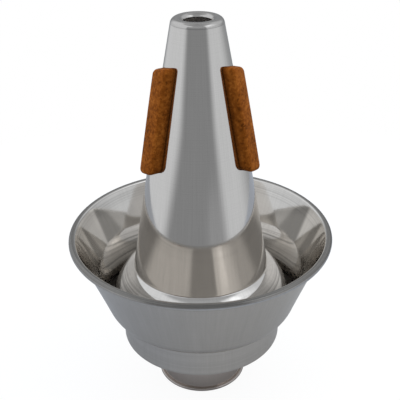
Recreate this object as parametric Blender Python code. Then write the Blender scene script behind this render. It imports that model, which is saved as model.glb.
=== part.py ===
"""Wah-wah mute of spun aluminium, with its stem, cork strips and removable cup.

The mute stands mouth-down on its stem bell. Lengths below are in millimetres and angles in
degrees; the meshes are in metres, with +Z up along the axis and the origin in the middle of the
bell's mouth. Every turned piece is a closed outline of (radius, height) points spun about the
axis. Heights climb from the table: the bell carries the cup's floor, the cup's shelf carries the
bulb, and the bulb carries the cone.
"""

import math

import bmesh
import bpy
from mathutils import Vector

# Shared by all pieces
MM = 0.001
WALL = 0.8
SEAT_GAP = 0.3
RUNNING_GAP = 0.08
WIDE_FACETS = 48
NARROW_FACETS = 32
SHARP_ANGLE = 32.0

# Points along each curve, its ends included
BEAD_POINTS = 5
BELL_SKIRT_POINTS = 6
BELL_UPPER_POINTS = 7
CUP_FILLET_POINTS = 3
CUP_TURN_POINTS = 7
RIM_CURL_POINTS = 11
TIP_ROLL_POINTS = 7
SHOULDER_POINTS = 7
SKIRT_POINTS = 3
LAP_POINTS = 3
CAP_TURN_POINTS = 5
CAP_DOME_POINTS = 6

# Stem bell
FOOT_RADIUS = 21.4
FOOT_BEAD_RADIUS = 0.8
FOOT_RING_WIDTH = 1.1
FOOT_BEAD_JOIN_ANGLE = 118.0
BELL_SHOULDER_RADIUS = 12.0
BELL_SHOULDER_HEIGHT = 20.5
BELL_SHOULDER_SLOPE = 32.0
BELL_FLARE_LENGTH = 7.5
BELL_NECK_HEIGHT = 30.2
BELL_NECK_PULL_LENGTH = 4.6

# Stem tube
TUBE_RADIUS = 4.8
TUBE_WALL = 0.6
TUBE_LAP_LENGTH = 6.0
TUBE_LENGTH = 83.0

# Cup
CUP_HOLE_RADIUS = 7.9
CUP_BASE_FILLET_RADIUS = 0.4
CUP_BASE_DEPTH = 13.7
CUP_TURN_RADIUS = 12.0
CUP_SHELF_ANGLE = 71.5
CUP_WALL_ANGLE = 20.9
RIM_RADIUS = 60.0
RIM_BEAD_RADIUS = 1.8
RIM_CURL_ANGLE = 288.0

# Mute body
BULB_RADIUS = 41.3
BULB_TURN_RADIUS = 9.0
BULB_OVERHANG = 3.9
CONE_FOOT_RADIUS = 30.9
CONE_FOOT_RISE = 16.3
CONE_BOW_DEPTH = 0.3
CONE_STATIONS = (0.75, 0.5, 0.25)
CREASE_RADIUS = 31.4
CREASE_RISE = 15.3
SHOULDER_PULL_LENGTH = 5.5
SHOULDER_PULL_ANGLE = 32.0
SHOULDER_FALL_LENGTH = 3.0
SKIRT_ANGLE = 14.0
TIP_RISE = 130.1
TIP_RADIUS = 11.05
TIP_ROLL_RADIUS = 2.6
TIP_ROLL_ANGLES = (157.0, 10.8)

# End cap
LAP_HEIGHT = 0.4
LAP_ANGLE = 16.5
CAP_TURN_START = 17.0
CAP_TURN_PAST_SEAT = 3.0
CAP_HOLE_RADIUS = 7.7

# Collar and its cork sleeve
COLLAR_FLANGE_RADIUS = 10.4
COLLAR_NECK_GAP = 1.56
COLLAR_LENGTH = 24.0
COLLAR_CORK_LENGTH = 20.0
COLLAR_CORK_INSET_DEPTH = 1.6

# Cork strips on the cone
STRIP_LENGTH = 44.1
STRIP_TOP_DEPTH = 18.8
STRIP_WIDTH = 10.8
STRIP_THICKNESS_TOP = 4.1
STRIP_THICKNESS_FOOT = 4.5
STRIP_CORNER_RADIUS = 2.2
STRIP_EDGE_RADIUS = 0.8
STRIP_WEAR_ANGLES = (0.0, 30.0, 60.0, 90.0)
STRIP_END_OFFSET = 1.5
STRIP_FIRST_ANGLE = 92.0
STRIP_SIDES = ("back", "left", "right")


def arc(centre, radius, start, end, count):
    """Points on a circle about centre from the start angle to the end angle, both included.

    Angles run anticlockwise from the direction in which the radius grows.
    """
    turns = [math.radians(start + (end - start) * i / (count - 1)) for i in range(count)]
    return [(centre[0] + radius * math.cos(t), centre[1] + radius * math.sin(t)) for t in turns]


def bezier(p0, p1, p2, p3, count):
    """Points on the cubic curve with the ends p0 and p3 and the handles p1 and p2."""
    points = []
    for i in range(count):
        t = i / (count - 1)
        weights = ((1 - t) ** 3, 3 * (1 - t) ** 2 * t, 3 * (1 - t) * t * t, t**3)
        points.append(tuple(sum(w * p[k] for w, p in zip(weights, (p0, p1, p2, p3))) for k in (0, 1)))
    return points


def polar(point, length, angle):
    """The point at this length and angle from another one."""
    turn = math.radians(angle)
    return (point[0] + length * math.cos(turn), point[1] + length * math.sin(turn))


def offset(path, distance):
    """The path moved sideways to its left by the distance, with mitred corners."""
    points = [Vector(p) for p in path]
    steps = [(b - a).normalized() for a, b in zip(points, points[1:])]
    moved = []
    for i, point in enumerate(points):
        before = steps[max(i - 1, 0)]
        after = steps[min(i, len(steps) - 1)]
        left = Vector((-before.y - after.y, before.x + after.x)).normalized()
        moved.append(tuple(point + left * distance / left.dot(Vector((-after.y, after.x)))))
    return moved


def sheet(path, thickness=WALL):
    """Closed outline of a sheet whose one face follows the path, with the other to its left."""
    return path + offset(path, thickness)[::-1]


def add_empty(name, height):
    """Empty on the axis that carries the pieces of one body."""
    frame = bpy.data.objects.new(name, None)
    frame.location.z = height * MM
    bpy.context.scene.collection.objects.link(frame)
    return frame


def add_material(name, colour, roughness, metallic):
    material = bpy.data.materials.new(name)
    material.use_nodes = True
    surface = material.node_tree.nodes["Principled BSDF"]
    surface.inputs["Base Color"].default_value = (*colour, 1.0)
    surface.inputs["Roughness"].default_value = roughness
    surface.inputs["Metallic"].default_value = metallic
    material.diffuse_color = (*colour, 1.0)
    return material


def add_object(name, bm, frame, height, material):
    """Object from a bmesh in millimetres; height is where its own zero lies above the table."""
    bmesh.ops.recalc_face_normals(bm, faces=bm.faces)
    bmesh.ops.scale(bm, vec=(MM, MM, MM), verts=bm.verts)
    mesh = bpy.data.meshes.new(name)
    bm.to_mesh(mesh)
    bm.free()
    mesh.shade_smooth()
    mesh.set_sharp_from_angle(angle=math.radians(SHARP_ANGLE))
    mesh.materials.append(material)
    made = bpy.data.objects.new(name, mesh)
    bpy.context.scene.collection.objects.link(made)
    made.parent = frame
    made.location.z = height * MM - frame.location.z
    return made


def add_turned(name, outline, facets, frame, height, material):
    """Piece spun about the axis from a closed outline of (radius, height) points."""
    bm = bmesh.new()
    ring = [bm.verts.new((radius, 0.0, z)) for radius, z in outline]
    edges = [bm.edges.new((a, b)) for a, b in zip(ring, ring[1:] + ring[:1])]
    bmesh.ops.spin(
        bm,
        geom=ring + edges,
        cent=(0, 0, 0),
        axis=(0, 0, 1),
        angle=math.tau,
        steps=facets,
        use_merge=True,
    )
    return add_object(name, bm, frame, height, material)


def bell_upper_curve():
    """Outer face of the stem bell from its shoulder up to the neck, in heights above the table."""
    neck_radius = TUBE_RADIUS + SEAT_GAP + WALL
    neck = (neck_radius, BELL_NECK_HEIGHT)
    start = (BELL_SHOULDER_RADIUS, BELL_SHOULDER_HEIGHT)
    first = polar(start, BELL_NECK_PULL_LENGTH, 180.0 - BELL_SHOULDER_SLOPE)
    second = (neck_radius, BELL_NECK_HEIGHT - BELL_NECK_PULL_LENGTH)
    return bezier(start, first, second, neck, BELL_UPPER_POINTS)


def height_on(curve, radius):
    """Height and steepness of a falling or rising curve where it passes the radius."""
    for (r0, z0), (r1, z1) in zip(curve, curve[1:]):
        if min(r0, r1) <= radius <= max(r0, r1):
            share = (radius - r0) / (r1 - r0)
            return z0 + share * (z1 - z0), math.hypot(r1 - r0, z1 - z0) / abs(r1 - r0)


def cup_floor_height():
    """Underside of the cup's floor: its hole stands off the bell's outer face by the seat gap."""
    contact, steepness = height_on(bell_upper_curve(), CUP_HOLE_RADIUS)
    return contact + SEAT_GAP * steepness


def cup_base_radius():
    """Outer radius of the cup's base: the bulb overhangs it and so rests on the shelf above."""
    return BULB_RADIUS - BULB_OVERHANG


def shelf_corner():
    """Inner corner of the cup's shelf, above the underside of the cup's floor."""
    slope = math.radians(CUP_SHELF_ANGLE)
    lift = WALL / math.sin(slope) - WALL / math.tan(slope)
    return cup_base_radius() - WALL, CUP_BASE_DEPTH + lift


def bulb_seat():
    """Where the bulb's lower turn meets the shelf's corner, seen from the turn's centre.

    Gives the distance outwards, the distance down and the angle below the horizontal.
    """
    across = shelf_corner()[0] - (BULB_RADIUS - BULB_TURN_RADIUS)
    down = math.sqrt((BULB_TURN_RADIUS + SEAT_GAP) ** 2 - across**2)
    return across, down, math.degrees(math.atan2(down, across))


def bulb_height():
    """Height of the bulb's widest circle: its lower turn rests on the shelf's inner corner."""
    return cup_floor_height() + shelf_corner()[1] + bulb_seat()[1]


def tip_roll():
    """Rolled tip from the edge of its hole over the top and down to the cone."""
    centre = (TIP_RADIUS - TIP_ROLL_RADIUS, TIP_RISE - TIP_ROLL_RADIUS)
    return arc(centre, TIP_ROLL_RADIUS, *TIP_ROLL_ANGLES, TIP_ROLL_POINTS)


def cone_radius(rise):
    """Radius of the cone's outer face at a height above the bulb's widest circle.

    A straight taper from the cone's foot to the tip roll, bowed out a little in the middle.
    """
    top_radius, top_rise = tip_roll()[-1]
    share = (rise - CONE_FOOT_RISE) / (top_rise - CONE_FOOT_RISE)
    straight = CONE_FOOT_RADIUS + share * (top_radius - CONE_FOOT_RADIUS)
    return straight + CONE_BOW_DEPTH * 4.0 * share * (1.0 - share)


def body_outline():
    """Rolled tip, cone and its foot, crease, shoulder and skirt, from the bulb's centre."""
    roll = tip_roll()
    rises = [CONE_FOOT_RISE + (roll[-1][1] - CONE_FOOT_RISE) * share for share in CONE_STATIONS]
    cone = [(cone_radius(rise), rise) for rise in rises]
    foot = (CONE_FOOT_RADIUS, CONE_FOOT_RISE)
    crease = (CREASE_RADIUS, CREASE_RISE)
    shoulder = bezier(
        crease,
        polar(crease, SHOULDER_PULL_LENGTH, -SHOULDER_PULL_ANGLE),
        (BULB_RADIUS, SHOULDER_FALL_LENGTH),
        (BULB_RADIUS, 0.0),
        SHOULDER_POINTS,
    )
    turn_centre = (BULB_RADIUS - BULB_TURN_RADIUS, 0.0)
    skirt = arc(turn_centre, BULB_TURN_RADIUS, 0.0, -SKIRT_ANGLE, SKIRT_POINTS)
    path = roll + cone + [foot] + shoulder + skirt[1:]
    return sheet(path[::-1])


def collar_underside():
    """Lowest face of the collar, from the bulb's centre: it clears the neck of the stem bell."""
    return BELL_NECK_HEIGHT + COLLAR_NECK_GAP - bulb_height()


def cap_hole_height():
    """Outer face of the cap's middle, from the bulb's centre: the collar's flange lies under it."""
    return collar_underside() + WALL + SEAT_GAP


def cap_outline():
    """Flange inside the skirt, joggle, lower turn of the bulb and dome to the stem's hole."""
    turn_centre = (BULB_RADIUS - BULB_TURN_RADIUS, 0.0)
    turn_end = bulb_seat()[2] + CAP_TURN_PAST_SEAT
    turn = arc(turn_centre, BULB_TURN_RADIUS, -CAP_TURN_START, -turn_end, CAP_TURN_POINTS)
    inset = BULB_RADIUS - WALL - SEAT_GAP
    lap_turn = BULB_TURN_RADIUS - WALL - SEAT_GAP
    flange = [(inset, LAP_HEIGHT)] + arc(turn_centre, lap_turn, 0.0, -LAP_ANGLE, LAP_POINTS)
    end = turn[-1]
    hole = (CAP_HOLE_RADIUS, cap_hole_height())
    reach = (end[0] - hole[0]) / 3
    pull = polar(end, reach, 270.0 - turn_end)
    dome = bezier(end, pull, (hole[0] + reach, hole[1]), hole, CAP_DOME_POINTS)
    return sheet((flange + turn + dome[1:])[::-1])


def collar_outline():
    """Flange under the cap and a tube up through its hole, from the bulb's centre."""
    outer = CAP_HOLE_RADIUS - SEAT_GAP
    inner = outer - WALL
    under = collar_underside()
    return [
        (inner, under),
        (COLLAR_FLANGE_RADIUS, under),
        (COLLAR_FLANGE_RADIUS, under + WALL),
        (outer, under + WALL),
        (outer, under + COLLAR_LENGTH),
        (inner, under + COLLAR_LENGTH),
    ]


def collar_cork_outline():
    """Sleeve that lines the collar and runs on the stem tube, from the bulb's centre."""
    inner = TUBE_RADIUS + RUNNING_GAP
    outer = CAP_HOLE_RADIUS - SEAT_GAP - WALL - SEAT_GAP
    low = collar_underside() + COLLAR_CORK_INSET_DEPTH
    high = low + COLLAR_CORK_LENGTH
    return [(inner, low), (outer, low), (outer, high), (inner, high)]


def bell_outline():
    """Flat mouth ring, bead, flaring skirt, shoulder and neck, in heights above the table."""
    bead_centre = (FOOT_RADIUS - FOOT_BEAD_RADIUS, FOOT_BEAD_RADIUS)
    bead = arc(bead_centre, FOOT_BEAD_RADIUS, -90.0, 90.0, BEAD_POINTS)
    upper = bell_upper_curve()
    start = polar(bead_centre, FOOT_BEAD_RADIUS, FOOT_BEAD_JOIN_ANGLE)
    skirt = bezier(
        start,
        (start[0], start[1] + BELL_FLARE_LENGTH),
        polar(upper[0], BELL_FLARE_LENGTH, -BELL_SHOULDER_SLOPE),
        upper[0],
        BELL_SKIRT_POINTS,
    )
    outer = skirt + upper[1:]
    inner = offset(outer, WALL)
    mouth_radius = FOOT_RADIUS - FOOT_BEAD_RADIUS - FOOT_RING_WIDTH
    return bead + outer + inner[1:][::-1] + [(mouth_radius, start[1]), (mouth_radius, 0.0)]


def tube_outline():
    """Plain tube that starts inside the bell's neck."""
    low = BELL_NECK_HEIGHT - TUBE_LAP_LENGTH
    inner = TUBE_RADIUS - TUBE_WALL
    high = low + TUBE_LENGTH
    return [(inner, low), (TUBE_RADIUS, low), (TUBE_RADIUS, high), (inner, high)]


def cup_outline():
    """Floor, stepped base, shelf, rounded turn, straight wall and rolled rim, from the floor."""
    base_radius = cup_base_radius()
    fillet_centre = (base_radius - CUP_BASE_FILLET_RADIUS, CUP_BASE_FILLET_RADIUS)
    fillet = arc(fillet_centre, CUP_BASE_FILLET_RADIUS, -90.0, 0.0, CUP_FILLET_POINTS)
    shelf = (base_radius, CUP_BASE_DEPTH)
    turn_centre = polar(shelf, CUP_TURN_RADIUS, 180.0 - CUP_SHELF_ANGLE)
    turn = arc(turn_centre, CUP_TURN_RADIUS, -CUP_SHELF_ANGLE, -CUP_WALL_ANGLE, CUP_TURN_POINTS)
    curl_radius = RIM_BEAD_RADIUS - WALL
    tangent = 180.0 - CUP_WALL_ANGLE
    curl_r = RIM_RADIUS - RIM_BEAD_RADIUS
    wall_top_r = polar((curl_r, 0.0), curl_radius, tangent)[0]
    wall_top_z = turn[-1][1] + (wall_top_r - turn[-1][0]) / math.tan(math.radians(CUP_WALL_ANGLE))
    curl_centre = (curl_r, wall_top_z - polar((0.0, 0.0), curl_radius, tangent)[1])
    curl = arc(curl_centre, curl_radius, tangent, tangent - RIM_CURL_ANGLE, RIM_CURL_POINTS)
    path = [(CUP_HOLE_RADIUS, 0.0)] + fillet + turn + curl
    return sheet(path)


def add_strip(side, angle, frame, bulb, material):
    """Cork strip on the cone at this angle about the axis: a loft of rectangles down the cone.

    Its inner face follows the metal, its long outer edges are bevelled and its lower corners are
    worn round. The ends are cut a little aslant, and rise towards the mute's front.
    """
    slant = -STRIP_END_OFFSET * math.cos(math.radians(angle))
    top = TIP_RISE - STRIP_TOP_DEPTH
    foot = top - STRIP_LENGTH
    worn = [STRIP_CORNER_RADIUS * (1.0 - math.cos(math.radians(a))) for a in STRIP_WEAR_ANGLES]
    lowered = [STRIP_CORNER_RADIUS * math.sin(math.radians(a)) for a in STRIP_WEAR_ANGLES]
    top_cut = STRIP_EDGE_RADIUS / 2
    stations = [(top, top_cut), (top - top_cut, 0.0), ((top + foot) / 2, 0.0)]
    stations += [(foot + STRIP_CORNER_RADIUS - low, cut) for low, cut in zip(lowered, worn)]
    bm = bmesh.new()
    rings = []
    for rise, cut in stations:
        share = (top - rise) / STRIP_LENGTH
        thick = STRIP_THICKNESS_TOP + share * (STRIP_THICKNESS_FOOT - STRIP_THICKNESS_TOP) - cut
        half = STRIP_WIDTH / 2 - cut
        section = [(-half, 0.0), (-half / 2, 0.0), (0.0, 0.0), (half / 2, 0.0), (half, 0.0)]
        section += [(half, thick - STRIP_EDGE_RADIUS), (half - STRIP_EDGE_RADIUS, thick), (0.0, thick)]
        section += [(STRIP_EDGE_RADIUS - half, thick), (-half, thick - STRIP_EDGE_RADIUS)]
        ring = []
        for along, above in section:
            height = rise + slant * along / (STRIP_WIDTH / 2)
            radius = cone_radius(height) + SEAT_GAP + above
            ring.append(bm.verts.new((math.sqrt(radius**2 - along**2), along, height)))
        rings.append(ring)
    for upper, lower in zip(rings, rings[1:]):
        for i in range(len(upper)):
            j = (i + 1) % len(upper)
            bm.faces.new((upper[i], upper[j], lower[j], lower[i]))
    bm.faces.new(rings[0])
    bm.faces.new(rings[-1][::-1])
    strip = add_object(f"cork_strip_{side}", bm, frame, bulb, material)
    strip.rotation_euler.z = math.radians(angle)


def build():
    for old in list(bpy.data.objects):
        bpy.data.objects.remove(old)

    bulb = bulb_height()
    floor = cup_floor_height()
    body = add_empty("mute_body_frame", bulb)
    stem = add_empty("stem_frame", 0.0)
    holder = add_empty("cup_frame", floor)

    shell_metal = add_material("spun_aluminium", (0.78, 0.79, 0.80), 0.22, 1.0)
    cap_metal = add_material("cap_aluminium", (0.74, 0.75, 0.76), 0.30, 1.0)
    collar_metal = add_material("collar_aluminium", (0.72, 0.73, 0.74), 0.30, 1.0)
    tube_metal = add_material("tube_aluminium", (0.76, 0.77, 0.78), 0.25, 1.0)
    bell_metal = add_material("bell_aluminium", (0.74, 0.74, 0.74), 0.25, 1.0)
    cup_metal = add_material("cup_aluminium", (0.76, 0.77, 0.78), 0.24, 1.0)
    sleeve_cork = add_material("sleeve_cork", (0.40, 0.22, 0.11), 0.85, 0.0)

    add_turned("body_shell", body_outline(), WIDE_FACETS, body, bulb, shell_metal)
    add_turned("end_cap", cap_outline(), WIDE_FACETS, body, bulb, cap_metal)
    add_turned("stem_collar", collar_outline(), NARROW_FACETS, body, bulb, collar_metal)
    add_turned("collar_cork", collar_cork_outline(), NARROW_FACETS, body, bulb, sleeve_cork)
    for i, side in enumerate(STRIP_SIDES):
        angle = STRIP_FIRST_ANGLE + i * 360.0 / len(STRIP_SIDES)
        cork = add_material(f"cork_{side}", (0.35, 0.16, 0.06), 0.85, 0.0)
        add_strip(side, angle, body, bulb, cork)
    add_turned("stem_tube", tube_outline(), NARROW_FACETS, stem, 0.0, tube_metal)
    add_turned("stem_bell", bell_outline(), WIDE_FACETS, stem, 0.0, bell_metal)
    add_turned("cup", cup_outline(), WIDE_FACETS, holder, floor, cup_metal)


build()
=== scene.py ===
# %% [markdown]
# A wah-wah mute of spun aluminium
#
# The mute is a set of thin metal shells, each one spun on a lathe, with three strips of cork
# glued to its cone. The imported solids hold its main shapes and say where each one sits. This
# lesson lays smooth, finely divided surfaces over them, gives each one its finish, and then
# lights it as a studio would.

import math

import bpy
import numpy as np
from mathutils import Euler, Matrix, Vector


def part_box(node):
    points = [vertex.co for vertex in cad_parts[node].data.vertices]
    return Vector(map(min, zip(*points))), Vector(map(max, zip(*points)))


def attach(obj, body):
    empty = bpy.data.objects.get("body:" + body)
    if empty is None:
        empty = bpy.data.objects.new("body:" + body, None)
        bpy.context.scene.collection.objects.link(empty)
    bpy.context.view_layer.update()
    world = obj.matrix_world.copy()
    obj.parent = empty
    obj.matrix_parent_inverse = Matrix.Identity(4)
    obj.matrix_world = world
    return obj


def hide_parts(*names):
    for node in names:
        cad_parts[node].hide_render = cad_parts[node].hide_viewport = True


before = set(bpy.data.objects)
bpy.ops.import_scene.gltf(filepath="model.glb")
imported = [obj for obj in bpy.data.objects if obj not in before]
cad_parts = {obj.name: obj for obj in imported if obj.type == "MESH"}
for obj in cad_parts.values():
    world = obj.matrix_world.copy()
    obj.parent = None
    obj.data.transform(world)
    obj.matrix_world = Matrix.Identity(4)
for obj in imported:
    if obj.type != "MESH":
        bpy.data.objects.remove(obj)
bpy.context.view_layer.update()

# %% [markdown]
# Profiles
#
# A spun part is known by its profile, the line that its sheet follows from the axis outwards.
# Arcs and Bezier curves draw that line, and an offset gives the sheet its thickness. Curve
# objects could draw it too, but numpy works on a whole line at once and can measure it. Lengths
# are written in millimetres and angles in degrees, and MM turns lengths into metres.

# %% Arcs and curves in the plane of radius and height
MM = 0.001


def arc(centre, radius, start, end, count):
    """Points centre + radius (cos a, sin a), with the angle a going from start to end degrees."""
    turns = np.radians(np.linspace(start, end, count))
    return np.asarray(centre) + radius * np.stack([np.cos(turns), np.sin(turns)], 1)


def bezier(p0, p1, p2, p3, count):
    """Cubic curve: the four points weighted by the terms of (1 - t + t) cubed, t from 0 to 1."""
    t = np.linspace(0.0, 1.0, count)[:, None]
    p0, p1, p2, p3 = (np.asarray(p, float) for p in (p0, p1, p2, p3))
    return (1 - t) ** 3 * p0 + 3 * (1 - t) ** 2 * t * p1 + 3 * (1 - t) * t**2 * p2 + t**3 * p3


def polar(point, distance, angle):
    """The point at this distance and angle in degrees from another one."""
    turn = math.radians(angle)
    return point[0] + distance * math.cos(turn), point[1] + distance * math.sin(turn)


def runs(path):
    """How far along the line each of its points lies: the sum of the steps before it."""
    return np.concatenate([[0.0], np.cumsum(np.linalg.norm(np.diff(path, axis=0), axis=1))])


quarter = arc((0.0, 0.0), 10.0, 0.0, 90.0, 50)
print("a quarter circle of radius 10 runs for", round(runs(quarter)[-1], 2))


# %% The outline of a sheet
CORNER_ROOM = 0.3


def offset(path, distance):
    """The path moved to its left: each point goes along its mitre, the mean of two normals."""
    steps = np.diff(path, axis=0)
    steps /= np.linalg.norm(steps, axis=1)[:, None]
    before = np.vstack([steps[:1], steps])
    after = np.vstack([steps, steps[-1:]])
    mitre = np.stack([-before[:, 1] - after[:, 1], before[:, 0] + after[:, 0]], 1)
    mitre /= np.linalg.norm(mitre, axis=1)[:, None]
    spread = -mitre[:, 0] * after[:, 1] + mitre[:, 1] * after[:, 0]
    return path + mitre * (distance / spread)[:, None]


def sheet(path, thickness):
    """Closed outline of a sheet: out along the path, and back along the path moved sideways."""
    return np.vstack([path, offset(path, thickness)[::-1]])


def ring(inner, outer, low, high):
    """Closed outline of a plain ring or tube: a rectangle."""
    return np.array([(inner, low), (outer, low), (outer, high), (inner, high)])


def fine(outline, step):
    """The closed outline with points about a step apart, its corners kept, and all their runs.

    A new point is left out where a corner lies nearer than CORNER_ROOM of a step.
    """
    closed = np.vstack([outline, outline[:1]])
    run = runs(closed)
    extra = np.arange(0.0, run[-1], step)
    nearest = np.abs(extra[:, None] - run[None, :]).min(1)
    marks = np.union1d(run, extra[nearest > CORNER_ROOM * step])[:-1]
    return np.stack([np.interp(marks, run, closed[:, k]) for k in (0, 1)], 1), marks


print("points of a sheet's outline round that arc:", len(fine(sheet(quarter, 0.8), 0.5)[1]))

# %% [markdown]
# From a profile to a shell
#
# Blender's Spin tool could turn a profile, but a grid of points worked out with numpy is
# quicker and also carries a number for each point: how far along the sheet it lies. The finish
# uses that number to lay turning lines round every shell, flat or upright.

# %% Surfaces from grids
SHARP_ANGLE = 32.0


def grid_faces(rows, columns, close_rows):
    """Quads (i, j), (i + 1, j), (i + 1, j + 1), (i, j + 1) of a grid whose columns go round."""
    last = rows if close_rows else rows - 1
    i, j = np.meshgrid(np.arange(last), np.arange(columns), indexing="ij")
    down, right = (i + 1) % rows, (j + 1) % columns
    corners = [i * columns + j, down * columns + j, down * columns + right, i * columns + right]
    return np.stack([c.ravel() for c in corners], 1)


def put_together(name, points, faces, body, nodes, material):
    """Object whose mesh holds these points, riding on a body in place of the CAD nodes."""
    mesh = bpy.data.meshes.new(name)
    mesh.from_pydata(points, [], faces)
    mesh.shade_smooth()
    mesh.set_sharp_from_angle(angle=math.radians(SHARP_ANGLE))
    mesh.materials.append(material)
    piece = bpy.data.objects.new(name, mesh)
    bpy.context.scene.collection.objects.link(piece)
    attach(piece, body)
    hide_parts(*nodes)
    print(f"{name}: {len(points)} points, {len(faces)} faces")
    return piece


def number_points(piece, name, values):
    """Keeps one number for each point under this name, for a material to read."""
    kept = piece.data.attributes.new(name, "FLOAT", "POINT")
    kept.data.foreach_set("value", values.astype(np.float32))


def turned(name, outline, base, step, around, body, cad_node, material):
    """Shell turned from a closed outline in millimetres that starts at the height base.

    Point (i, j) is (r cos a, r sin a, z), with r and z the outline's point i and a the turn
    j / around of a full circle. An outline that runs the wrong way round is turned about, so
    that the faces point outwards.
    """
    outline, run = fine(outline, step)
    r, z = outline.T
    if np.sum(r * np.roll(z, -1) - np.roll(r, -1) * z) > 0:
        r, z, run = r[::-1], z[::-1], run[::-1]
    a = np.arange(around) * (math.tau / around)
    height = np.broadcast_to(((z + base) * MM)[:, None], (len(r), around))
    points = np.stack([np.outer(r, np.cos(a)) * MM, np.outer(r, np.sin(a)) * MM, height], -1)
    faces = grid_faces(len(r), around, True)
    piece = put_together(name, points.reshape(-1, 3), faces, body, [cad_node], material)
    number_points(piece, "run", np.repeat(run * MM, around))


print("faces of a closed grid of 4 by 6 points:", len(grid_faces(4, 6, True)))

# %% [markdown]
# The finish of spun metal
#
# A spun shell carries fine lines round its axis, left by the tool and the polishing cloth.
# They blur a reflection along the profile and keep it sharp across, which is why every highlight
# on such a cone is a long upright streak. Three things give that look: anisotropic gloss, a
# faint bump of lines at constant run, and a colour that is a little darker in the deeper lines.
# Painted image textures could show the lines too, but nodes stay sharp at any distance.


# %% Node helpers
def connect(tree, made, inputs):
    """Each input, by name or number, is linked if it is given a socket, and set if a value."""
    for key, value in inputs.items():
        if isinstance(value, bpy.types.NodeSocket):
            tree.links.new(value, made.inputs[key])
        else:
            made.inputs[key].default_value = value


def node(tree, kind, inputs=None, **settings):
    """Adds a node, sets its properties, and then connects its inputs."""
    made = tree.nodes.new(kind)
    for key, value in settings.items():
        setattr(made, key, value)
    connect(tree, made, inputs or {})
    return made


def maths(tree, operation, *values):
    """One operation on numbers, such as MULTIPLY_ADD, which is a times b plus c."""
    return node(tree, "ShaderNodeMath", dict(enumerate(values)), operation=operation).outputs[0]


def vectors(tree, operation, *values):
    """One operation on vectors, number by number or on the whole."""
    inputs = dict(enumerate(values))
    return node(tree, "ShaderNodeVectorMath", inputs, operation=operation).outputs[0]


def scaled(tree, vector, factor):
    """A vector or colour times one number."""
    inputs = {0: vector, "Scale": factor}
    return node(tree, "ShaderNodeVectorMath", inputs, operation="SCALE").outputs[0]


print("node helpers: connect, node, maths, vectors, scaled")


# %% Ramps, noise and places as nodes
def smooth(tree, value, low, high):
    """0 below low, 1 above high, and smooth between them; falling if low is above high."""
    inputs = {"Value": value, "From Min": low, "From Max": high}
    made = node(tree, "ShaderNodeMapRange", inputs, interpolation_type="SMOOTHSTEP")
    return made.outputs["Result"]


def stretched(tree, value, low, high, first=0.0, last=1.0):
    """The number first up to low, last from high on, and a straight line between them."""
    inputs = {"Value": value, "From Min": low, "From Max": high, "To Min": first, "To Max": last}
    return node(tree, "ShaderNodeMapRange", inputs).outputs["Result"]


def noise(tree, place, scale, detail, roughness=0.5, distortion=0.0):
    """Clouds from 0 to 1, so many to a metre, under layers of finer and weaker ones.

    The detail says how many layers there are, and the roughness how strong each one is.
    """
    inputs = {"Vector": place, "Scale": scale, "Detail": detail, "Roughness": roughness}
    inputs["Distortion"] = distortion
    return node(tree, "ShaderNodeTexNoise", inputs).outputs["Fac"]


def own_place(tree):
    """The point's place in metres, in the piece's own coordinates."""
    return node(tree, "ShaderNodeTexCoord").outputs["Object"]


def own_number(tree, name):
    """The number that the mesh carries for each point under this name."""
    return node(tree, "ShaderNodeAttribute", attribute_name=name).outputs["Fac"]


print("masks and places: smooth, stretched, noise, own_place, own_number")


# %% Starting a node group
def group_tree(name, inputs, outputs):
    """Shader node group with named numbers that go in and named numbers that come out."""
    tree = bpy.data.node_groups.new(name, "ShaderNodeTree")
    kind = "NodeSocketFloat"
    for socket, value in inputs.items():
        made = tree.interface.new_socket(socket, in_out="INPUT", socket_type=kind)
        made.default_value = value
    for socket in outputs:
        tree.interface.new_socket(socket, in_out="OUTPUT", socket_type=kind)
    print(f"node group {name}: takes {list(inputs)} and gives {outputs}")
    return tree, tree.nodes.new("NodeGroupInput").outputs, tree.nodes.new("NodeGroupOutput")


# %% [markdown]
# Lines, marks, bands and streaks
#
# Four effects lie on these shells: the turning lines, the dull marks of handling, bands where
# the sheet is darker or duller, and upright streaks from the polishing mop. All the metals share
# them, so each one is a node group with named inputs, built once and placed in each material
# with its own values.

# %% Turning lines as a node group
def make_turning_lines():
    """Noise read along the sheet and hardly round the axis: lines that circle the part.

    Spacing is the mean distance between two lines in metres, and Wander says how fast a line
    changes round the axis. Height feeds a bump, and Mask says where the lines lie deeper.
    """
    tree, given, put = group_tree(
        "turning_lines", {"Spacing": 0.0004, "Wander": 2.0}, ["Height", "Mask"]
    )
    across = maths(tree, "DIVIDE", own_number(tree, "run"), given["Spacing"])
    slow = scaled(tree, own_place(tree), given["Wander"])
    split = node(tree, "ShaderNodeSeparateXYZ", {0: slow}).outputs
    read_at = {"X": split["X"], "Y": split["Y"], "Z": across}
    lines = noise(tree, node(tree, "ShaderNodeCombineXYZ", read_at).outputs[0], 1.0, 3.0, 0.6)
    connect(tree, put, {"Height": lines, "Mask": stretched(tree, lines, 0.45, 0.7)})
    return tree


turning_lines = make_turning_lines()


# %% Handling marks as a node group
def make_smudges():
    """Cloudy noise of a given size in metres: the dull patches that fingers and cloths leave."""
    tree, given, put = group_tree("smudges", {"Size": 0.02}, ["Mask"])
    scale = maths(tree, "DIVIDE", 1.0, given["Size"])
    clouds = noise(tree, own_place(tree), scale, 4.0, 0.55, 0.4)
    connect(tree, put, {"Mask": stretched(tree, clouds, 0.42, 0.72)})
    return tree


smudges = make_smudges()


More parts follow.
